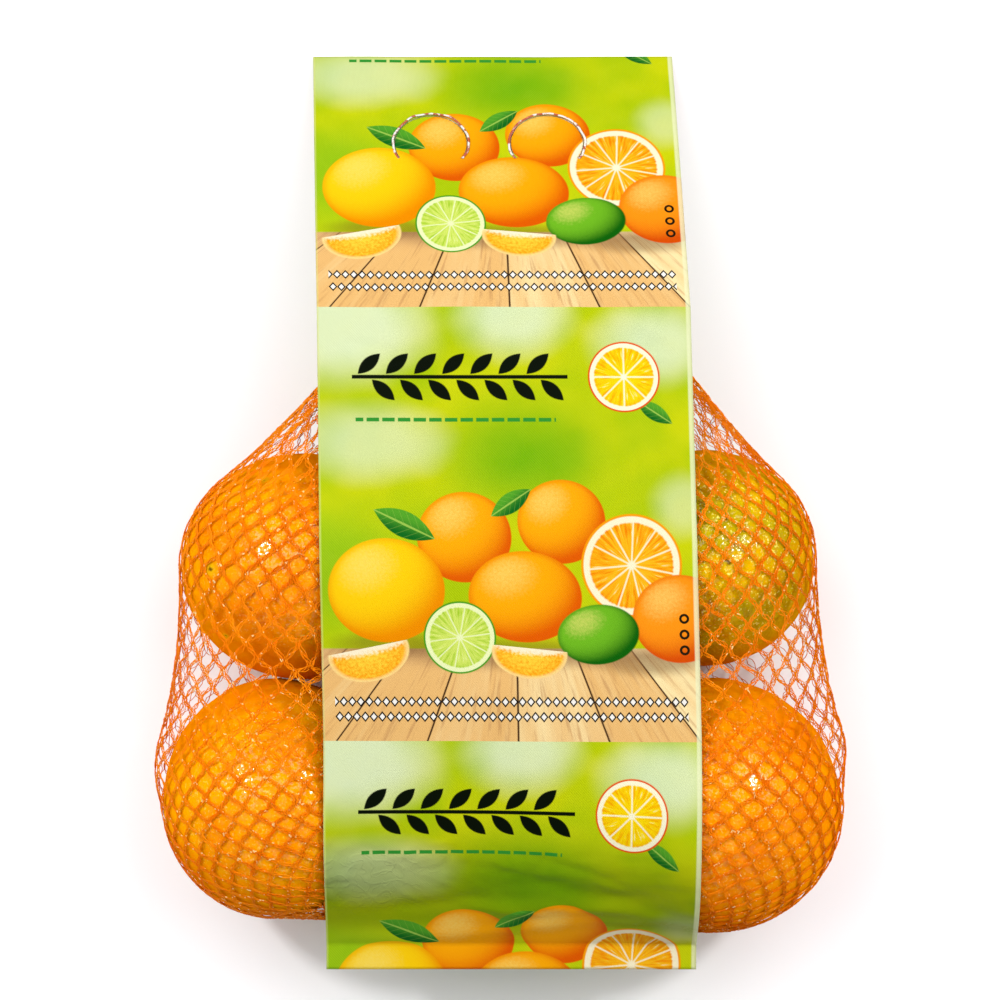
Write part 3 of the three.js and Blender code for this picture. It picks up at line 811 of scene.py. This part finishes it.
def film_material(name, shift):
    """Glossy print on film with a fine diagonal weave. Where it turns down to the tab it is finely
    crumpled and darkened by painted shade."""
    material, place = new_material(name, "print")
    x = place.part("X") / MM
    y = place.part("Y") / MM
    weave = ((x - y * 0.9) * (2 * math.pi / WEAVE_PITCH)).math("SINE")
    scuff = place.noise(9.0, 3.0)
    thread = (weave * 0.5 + 0.5) * (scuff * 0.2 + 0.05)
    # where the film turns down to the tab, which gets painted shade
    turned_down = y.rise(166, 192) * y.rise(214, 204)
    crumpled = y.rise(173, 181) * y.rise(206, 196) * (x.rise(42, 18) * 0.8 + 0.2)
    folds = abs(place.noise(9.0, 1.0) - 0.5).rise(0.05, 0.0) * 3.0
    folds = folds + abs(place.noise(5.0, 1.0) - 0.5).rise(0.04, 0.0) * 2.5
    relief = weave * 0.5 + scuff * 2.0 + folds * crumpled
    finish_material(
        place,
        {
            "Base Color": print_colour(place, shift, thread, turned_down * 0.5),
            "Roughness": scuff.rise(0.3, 0.7) * 0.14 + 0.2,
            "Normal": relief.bump(0.03),
            "IOR": 1.07,
        },
    )
    return material


plain_film = mottled_material(  # the unprinted white face of the film
    "film_inside", lambda place: place.noise(6.0, 3.0),
    tint((226, 228, 222)), tint((242, 243, 238)), 0.45, 0.1,
)
film_piece(
    "film_back", back_film, back_path, back_across, 31, 0.5, False,
    [film_material("print_back", 60.0), plain_film], "film_back",
)
film_piece(
    "film_front", front_film, front_path, front_across, 11, 1.0, True,
    [film_material("print_front", 0.0), plain_film], "film_front",
)
cut_edge = mottled_material(  # the die cut's curled white edges, with scorched brown specks
    "film_cut_edge", lambda place: place.noise(3.5, 3.0, 0.7).rise(0.46, 0.54),
    ink((252, 248, 240)), ink((196, 84, 44)), 0.5, 0.1,
)
turns = np.arange(6) * math.pi / 3
across = LIP_REACH + LIP_WIDTH / 2 * np.cos(turns)
up = FILM_THICKNESS / 2 + LIP_HEIGHT / 2 * (1 + np.sin(turns))
lips = [arc_bar(hole_x, tuple(zip(across, up)), LIP_WAVER) for hole_x in FINGER_HOLES_X]
add_piece(
    "finger_hole_edges",
    np.concatenate([points for points, _ in lips]),
    np.concatenate([faces + number * len(lips[0][0]) for number, (_, faces) in enumerate(lips)]),
    [cut_edge], "film_front",
)

# ---- The netting ----
# A knitted tube of orange plastic, gathered flat between the films at both ends and drawn tight
# over the fruit. Each strand is a chain of fine shiny threads that zigzags along the tube and is
# knitted to its neighbours in turn, which leaves diamond cells. The tube is in four pieces.

POCKETS = (  # slack netting stands off the outer sides of the two lower oranges
    ((-73.0, -85.0, 39.0), (39.4, 37.0, 30.0)),
    ((70.0, -80.0, 41.0), (42.0, 33.0, 30.0)),
)
NET_OFF_FRUIT = 0.4  # from the peel to the middle of a strand
NET_FLOOR = 0.9
NET_TO_FILM = 1.0
FILM_EDGE_MARGIN = 6.0
NET_TOP = {"x": 4.4, "y": 60.5, "z": 59.2, "half": 42.5, "slant": 0.0}
NET_BOTTOM = {"x": 4.8, "y": -136.4, "z": 45.2, "half": 55.0, "slant": -0.036}
GATHER_HALF_THICKNESS = 0.8
AXIS_TOP, AXIS_BOTTOM, AXIS_Z = -18.0, -96.0, 41.0
HALF_STRAIGHT = 66.0
SECTION_RADIUS = 42.0
CAP_PART = 0.36
HOOP_PULL = 0.16
NET_SLACK = 12.0
NET_LEVELS = ((32, 64, 900), (56, 100, 350), (112, 200, 160))  # rows, columns and rounds

CELLS_AROUND = 62
CELL_ROWS = 62  # half cells along the tube and the spare netting past its ends
SPARE_ROWS, SPARE_STEP = 10.0, 2.2  # rows of the tube past each gather, which are cut off
CORD_LENGTH = 5.5  # a strand between two knots, before it is stretched
CELL_SIZE = (7.9, 7.9)  # the width and height that a cell keeps to, but weakly
CELL_STIFFNESS = 0.7
LATTICE_ROUNDS = 500
LATTICE_STEP = 0.15
PUSH_PART = 0.2  # how hard a strand pushes when it is slack, beside how it pulls when stretched
KNOT_JITTER = (0.35, 0.6)  # where the netting lies on the fruit, and where it is free
SEGMENTS = 5
STRAND_GAP = 0.55  # between the middle of a knot and each of its strands
KNOT_PART = 0.16  # the share of a strand that runs beside its neighbour, at each of its knots
FRONT_THREADS, BACK_THREADS, COVERED_THREADS = 5, 2, 1
THREAD_RADIUS = 0.155
THREAD_SWING = (0.58, 0.1)  # how far a thread winds off its strand, beside it and off the fruit
THREAD_STRAY = (0.15, 0.35)  # how far it strays besides, on the fruit and where it is free
BUNCHED_STRAY, BUNCHED_ROWS = 1.0, 14.0  # and over the rows bunched up at the lower gather
THREAD_TURNS = 0.9  # about the strand, from knot to knot
TAUT, FREE = 0.6, 5.0  # how far off the fruit the netting starts to slacken, and hangs free
COVERED = 48.0  # strands that stay this near the band's middle are covered by film


def reach_of(middle, half, origin, direction):
    """How far out along each line a rounded body still reaches, or 0 where the line misses it."""
    start = (origin - middle) / half
    step = direction / half
    a = (step * step).sum(-1)
    b = (start * step).sum(-1)
    root = b * b - a * ((start * start).sum(-1) - 1)
    return np.where(root < 0, 0, np.maximum(0, (np.sqrt(np.maximum(root, 0)) - b) / a))


def tube_lines(rows, columns):
    """The lines that points of the tube slide on: their origins, ways out and far ends."""
    arc = math.pi * SECTION_RADIUS
    straight = 2 * HALF_STRAIGHT
    place = np.arange(columns) / columns * 2 * (arc + straight) + arc / 2
    half = np.floor(place / (arc + straight))
    rest = place - half * (arc + straight)
    turned = np.minimum(rest, arc) / SECTION_RADIUS - math.pi / 2 + half * math.pi
    slid = np.maximum(0, rest - arc) - HALF_STRAIGHT
    start = np.where(half % 2 == 0, -slid, slid)
    facing = np.stack([np.cos(turned), 0 * turned, np.sin(turned)], axis=-1)
    across = (start + SECTION_RADIUS * facing[:, 0]) / (HALF_STRAIGHT + SECTION_RADIUS)
    origins, ways, ends = [], [], []
    for part in np.arange(rows + 1) / rows:
        along = np.clip((part - CAP_PART) / (1 - 2 * CAP_PART), 0, 1)
        y = AXIS_TOP + (AXIS_BOTTOM - AXIS_TOP) * along
        origin = np.stack([start, 0 * start + y, 0 * start + AXIS_Z], axis=-1)
        gather = NET_TOP if part < 0.5 else NET_BOTTOM
        out = gather["half"] * across
        height = gather["z"] + GATHER_HALF_THICKNESS * facing[:, 2]
        end = np.stack([gather["x"] + out, gather["y"] + gather["slant"] * out, height], axis=-1)
        end -= origin
        length = np.linalg.norm(end, axis=-1, keepdims=True)
        lean = max(0.0, 1 - min(part, 1 - part) / CAP_PART)
        full = np.arccos((facing * end / length).sum(-1, keepdims=True))
        way = np.sin(lean * full) * end / length + np.sin((1 - lean) * full) * facing
        origins.append(origin)
        ways.append(unit(way))
        ends.append(length[:, 0])
    return np.array(origins), np.array(ways), np.array(ends)


def drape_net():
    """The tube drawn tight over the fruit, on finer and finer grids of points."""
    out = None
    for rows, columns, rounds in NET_LEVELS:
        origin, way, end = tube_lines(rows, columns)
        bodies = [(fruit_middle(o), np.array(o["half"])) for o in ORANGES.values()]
        bodies += [(np.array(middle), np.array(half)) for middle, half in POCKETS]
        least = np.max([reach_of(m, h + NET_OFF_FRUIT, origin, way) for m, h in bodies], axis=0)
        if out is None:
            out = least + NET_SLACK
        else:
            count, wide = out.shape
            out = resample(out, np.linspace(0, 1, count), np.linspace(0, 1, rows + 1), 0)
            out = np.concatenate([out, out[:, :1]], axis=1)
            places = np.arange(wide + 1) / wide
            out = np.maximum(least, resample(out, places, np.arange(columns) / columns, 1))
        out[[0, -1]] = end[[0, -1]]
        for _ in range(rounds):
            points = origin + way * out[:, :, None]
            after = np.roll(points, -1, axis=1)[1:-1]
            before = np.roll(points, 1, axis=1)[1:-1]
            above, below = points[:-2], points[2:]
            drawn = (after + before) * HOOP_PULL + above + below
            drawn = drawn / (2 + 2 * HOOP_PULL) - origin[1:-1]
            normal = np.cross(after - before, above - below)
            wanted = (drawn * normal).sum(-1) / (way[1:-1] * normal).sum(-1)
            inner = out[1:-1]
            out[1:-1] = np.maximum(least[1:-1], inner + 0.8 * (wanted - inner))
    return under_films(origin + way * out[:, :, None])


def film_height(rows, points):
    """The height of a film over or under each point, and whether the film is there."""
    across = (points[..., 0] - band_middle(points[..., 1])) / BAND_WIDTH + 0.5
    near = np.abs(across - 0.5) < 0.5 + FILM_EDGE_MARGIN / BAND_WIDTH
    column = np.clip(across, 0, 1) * (rows.shape[1] - 1)
    k = np.minimum(column.astype(int), rows.shape[1] - 2)
    heights = np.array([
        np.interp(points[..., 1], rows[::-1, j, 1], rows[::-1, j, 2]) for j in range(rows.shape[1])
    ])
    picked = [np.take_along_axis(heights, (k + j)[None], axis=0)[0] for j in (0, 1)]
    return picked[0] + (picked[1] - picked[0]) * (column - k), near


def under_films(points):
    """Points of the netting moved clear of the films and the table."""
    points = points.copy()
    ceiling, near = film_height(front_film, points)
    lowered = np.minimum(points[..., 2], ceiling - NET_TO_FILM)
    points[..., 2] = np.where(near, lowered, points[..., 2])
    floor, near = film_height(back_film, points)
    raised = np.maximum(points[..., 2], floor + NET_TO_FILM)
    points[..., 2] = np.maximum(np.where(near, raised, points[..., 2]), NET_FLOOR)
    return points


tube = drape_net()


def on_tube(u, v):
    """Points on the tube at columns u, which run round it, and rows v. It runs straight on past
    its ends."""
    rows, columns = tube.shape[0] - 1, tube.shape[1]
    past = (v - np.clip(v, 0, rows))[..., None]
    v = np.clip(v, 0, rows)
    i = np.minimum(v.astype(int), rows - 1)
    k = np.floor(u).astype(int)
    right, down = (u - k)[..., None], (v - i)[..., None]
    a, b = tube[i, k % columns], tube[i, (k + 1) % columns]
    c, d = tube[i + 1, k % columns], tube[i + 1, (k + 1) % columns]
    point = (a * (1 - right) + b * right) * (1 - down) + (c * (1 - right) + d * right) * down
    return point - past * (0.0, SPARE_STEP, 0.0)


def tube_ways(u, v):
    """How a point moves as it goes round the tube by one column, and along it by one row."""
    around = on_tube(u + 0.5, v) - on_tube(u - 0.5, v)
    return around, on_tube(u, v + 0.5) - on_tube(u, v - 0.5)


def slackness(points):
    """0 where the netting lies on an orange, and 1 where it hangs free."""
    clear = np.full(points.shape[:-1], np.inf)
    for orange in ORANGES.values():
        half = np.array(orange["half"])
        depth = np.linalg.norm((points - fruit_middle(orange)) / half, axis=-1)
        clear = np.minimum(clear, (depth - 1) * half.mean() - NET_OFF_FRUIT)
    return np.clip((clear - TAUT) / (FREE - TAUT), 0, 1)


def settle_knots():
    """Where the knots come to rest on the tube when every strand pulls like a weak spring, as
    columns and rows. Knots of odd rows lie half a cell further round."""
    rows, columns = tube.shape[0] - 1, tube.shape[1]
    i, k = np.meshgrid(np.arange(CELL_ROWS + 1), np.arange(CELLS_AROUND), indexing="ij")
    u = ((k + 0.5 * (i % 2)) * columns / CELLS_AROUND).ravel()
    v = (i / CELL_ROWS * (rows + 2 * SPARE_ROWS) - SPARE_ROWS).ravel()
    i, k = i.ravel(), k.ravel()
    upper = np.concatenate([np.flatnonzero(i < CELL_ROWS)] * 2)
    side = np.repeat([0, 1], len(upper) // 2)
    step = np.where(i[upper] % 2 == 0, side - 1, side)
    lower = (i[upper] + 1) * CELLS_AROUND + (k[upper] + step) % CELLS_AROUND
    free = (i > 0) & (i < CELL_ROWS)
    knots = np.arange(len(i))
    beside = i * CELLS_AROUND + (k + 1) % CELLS_AROUND
    start = np.concatenate([upper, knots, knots[: -2 * CELLS_AROUND]])
    end = np.concatenate([lower, beside, knots[2 * CELLS_AROUND :]])
    counts = len(upper), len(knots), len(knots) - 2 * CELLS_AROUND
    rest = np.repeat((CORD_LENGTH, *CELL_SIZE), counts)[:, None]
    stiffness = np.repeat((1.0, CELL_STIFFNESS, CELL_STIFFNESS), counts)[:, None]
    for _ in range(LATTICE_ROUNDS):
        points = on_tube(u, v)
        reach = points[end] - points[start]
        length = np.maximum(np.linalg.norm(reach, axis=1, keepdims=True), 0.5)
        pull = reach * (1 - rest / length) * stiffness * np.where(length > rest, 1, PUSH_PART)
        force = np.zeros_like(points)
        np.add.at(force, start, pull)
        np.add.at(force, end, -pull)
        around, along = tube_ways(u, v)
        a, b, c = (around**2).sum(1), (around * along).sum(1), (along**2).sum(1)
        fu, fv = (force * around).sum(1), (force * along).sum(1)
        det = np.maximum(a * c - b * b, 0.05 * a * c)
        u = u + np.where(free, np.clip(LATTICE_STEP * (c * fu - b * fv) / det, -1, 1), 0)
        v = v + np.where(free, np.clip(LATTICE_STEP * (a * fv - b * fu) / det, -1, 1), 0)
        v = np.clip(v, -SPARE_ROWS, rows + SPARE_ROWS)
    draw = np.random.default_rng(5)
    around, along = tube_ways(u, v)
    stray = np.interp(slackness(on_tube(u, v)), (0, 1), KNOT_JITTER)
    u += np.where(free, draw.normal(0, 1, len(u)) * stray / np.linalg.norm(around, axis=1), 0)
    v += np.where(free, draw.normal(0, 1, len(v)) * stray / np.linalg.norm(along, axis=1), 0)
    return u.reshape(CELL_ROWS + 1, -1), v.reshape(CELL_ROWS + 1, -1)


def strand_line(knot_u, knot_v, s):
    """One strand's middle line, from the top gather to the bottom one, with the ways beside it
    and off the fruit at each point, and how far its threads stray."""
    i = np.arange(CELL_ROWS + 1)
    odd = i % 2
    k = (s + 1 - odd) // 2 if s % 2 else s // 2 + 0 * i
    at_left = (2 * k + odd) == s
    columns = tube.shape[1]
    u = np.unwrap(knot_u[i, k % CELLS_AROUND], period=columns)
    v = knot_v[i, k % CELLS_AROUND]
    around, _ = tube_ways(u, v)
    u = u + np.where(at_left, 1, -1) * STRAND_GAP / np.linalg.norm(around, axis=1)
    part = np.arange(CELL_ROWS * SEGMENTS + 1) / SEGMENTS
    row = np.minimum(part.astype(int), CELL_ROWS - 1)
    t = part - row
    across = np.clip((t - KNOT_PART) / (1 - 2 * KNOT_PART), 0, 1)
    eased = 0.5 * across + 0.5 * across * across * (3 - 2 * across)
    fine_u = u[row] + (u[row + 1] - u[row]) * eased
    fine_v = v[row] + (v[row + 1] - v[row]) * t
    kept = (fine_v > 0) & (fine_v < tube.shape[0] - 1)
    fine_u, fine_v = fine_u[kept], fine_v[kept]
    bunched = np.clip((fine_v - tube.shape[0] + 1 + BUNCHED_ROWS) / BUNCHED_ROWS, 0, 1)
    points = push_out(on_tube(fine_u, fine_v), NET_OFF_FRUIT)
    around, down = tube_ways(fine_u, fine_v)
    along = unit(np.gradient(points, axis=0))
    beside = unit(np.cross(along, unit(np.cross(down, around))))
    stray = np.interp(slackness(points), (0, 1), THREAD_STRAY)
    stray += (BUNCHED_STRAY - stray) * bunched
    return points, beside, np.cross(beside, along), stray


def thread_tube(line, beside, off, turn, stray, radius):
    """A thread of three sides that winds round a strand, and strays from it by a list of ways."""
    middle = line + beside * (np.cos(turn) * THREAD_SWING[0] + stray[0])[:, None]
    middle = middle + off * (np.sin(turn) * THREAD_SWING[1] + np.abs(stray[1]))[:, None]
    corners = np.arange(3) * 2 * math.pi / 3
    rings = [middle + (beside * math.cos(c) + off * math.sin(c)) * radius for c in corners]
    points = np.stack(rings, axis=1).reshape(-1, 3)
    start = 3 * np.arange(len(line) - 1)[:, None]
    a = (start + np.arange(3)).ravel()
    b = (start + (np.arange(3) + 1) % 3).ravel()
    return points, np.stack([a, a + 3, b + 3, b], axis=1)


def netting_material():
    """Bright orange plastic thread, slightly glossy, a little lighter where it is stretched thin,
    with painted shade that makes it redder lower down and painted highlights as pale specks."""
    material, place = new_material("netting")
    worn = place.noise(2.0, 2.0).rise(0.4, 0.7)
    height = place.part("Z") / MM
    # painted highlights: pale specks along the threads, higher up
    painted_glint = place.noise(1.3, 1.0).rise(0.65, 0.71) * height.rise(12, 45) * 0.85
    colour = place.noise(14.0, 2.0).rise(0.35, 0.65)
    colour = colour.mix(tint((242, 118, 4)), tint((252, 142, 10)))
    colour = (worn * 0.25).mix(colour, tint((255, 170, 40)))
    # painted shade: the thread is redder lower down
    colour = (height.rise(66, 36) * 0.35).mix(colour, tint((216, 90, 0)))
    finish_material(
        place,
        {
            "Base Color": painted_glint.mix(colour, tint((255, 232, 160))),
            "Roughness": worn * 0.15 + 0.16,
            "Normal": worn.bump(0.05),
            "IOR": 1.06,
        },
    )
    return material


netting = netting_material()
knot_u, knot_v = settle_knots()
draw = np.random.default_rng(9)
quarters = {name: ([], []) for name in ("front_right", "front_left", "back_left", "back_right")}
for s in range(2 * CELLS_AROUND):
    line, beside, off, far = strand_line(knot_u, knot_v, s)
    covered = np.abs(line[:, 0] - band_middle(line[:, 1])).max() < COVERED
    pieces = quarters[list(quarters)[s * 4 // (2 * CELLS_AROUND)]]
    steps = np.arange(len(line)) / SEGMENTS
    wander = np.cumsum(draw.normal(0, 0.25, len(line)))
    threads = COVERED_THREADS if covered else FRONT_THREADS if s < CELLS_AROUND else BACK_THREADS
    for thread in range(threads):
        turn = 2 * math.pi * (thread / threads + steps * THREAD_TURNS) + wander
        radius = THREAD_RADIUS * draw.uniform(0.85, 1.15)
        bends = draw.normal(0, 1, (2, CELL_ROWS * 2 + 1))
        places = np.arange(CELL_ROWS * 2 + 1) / 2
        loose = np.array([np.interp(steps, places, bend) for bend in bends]) * far
        points, faces = thread_tube(line, beside, off, turn, loose, radius)
        pieces[1].append(faces + sum(map(len, pieces[0])))
        pieces[0].append(points)
for name, (points, faces) in quarters.items():
    add_piece(
        "netting_" + name, np.concatenate(points), np.concatenate(faces), [netting],
        "net_of_oranges",
    )

# ---- The table and the light ----
# A plain white table in a pale room, lit evenly by two very large soft boxes high at the sides.
# A large weak one fills in from the tab's end, and two small ones make the glints on the peel.

FLOOR_SIZE = 14000.0
TABLE_DROP = 0.2  # keeps the table's face clear of the film's
LIGHTS = (  # where each soft box is, its width, and its power in watts
    ((-1100.0, 800.0, 1700.0), 2000.0, 28.5),
    ((1100.0, 800.0, 1700.0), 2000.0, 25.5),
    ((0.0, -1900.0, 1300.0), 2600.0, 8.0),
    ((-860.0, 500.0, 1100.0), 150.0, 10.0),
    ((860.0, 440.0, 1100.0), 150.0, 10.0),
)
ROOM = (0.97, 0.97, 1.0, 1.0)
ROOM_STRENGTH = 0.38


def table_material():
    material, place = new_material("table")
    finish_material(
        place,
        {
            "Base Color": place.noise(60.0).mix((0.83, 0.83, 0.84, 1.0), (0.85, 0.85, 0.86, 1.0)),
            "Roughness": 0.7,
        },
    )
    return material


half = FLOOR_SIZE / 2 * MM
below = -TABLE_DROP * MM
table_mesh = bpy.data.meshes.new("table")
table_mesh.from_pydata(
    [(-half, -half, below), (half, -half, below), (half, half, below), (-half, half, below)],
    [],
    [(0, 1, 2, 3)],
)
table_mesh.materials.append(table_material())
add_object("table", table_mesh)

for number, (at, width, power) in enumerate(LIGHTS):
    light = bpy.data.lights.new(f"soft_box_{number}", "AREA")
    light.size = width * MM
    light.energy = power
    box = add_object(light.name, light)
    box.location = [value * MM for value in at]
    box.rotation_euler = box.location.to_track_quat("Z", "Y").to_euler()

world = bpy.data.worlds.new("room")
world.use_nodes = True
room = world.node_tree.nodes["Background"]
room.inputs["Color"].default_value = ROOM
room.inputs["Strength"].default_value = ROOM_STRENGTH
bpy.context.scene.world = world
bpy.context.scene.view_settings.view_transform = "Standard"
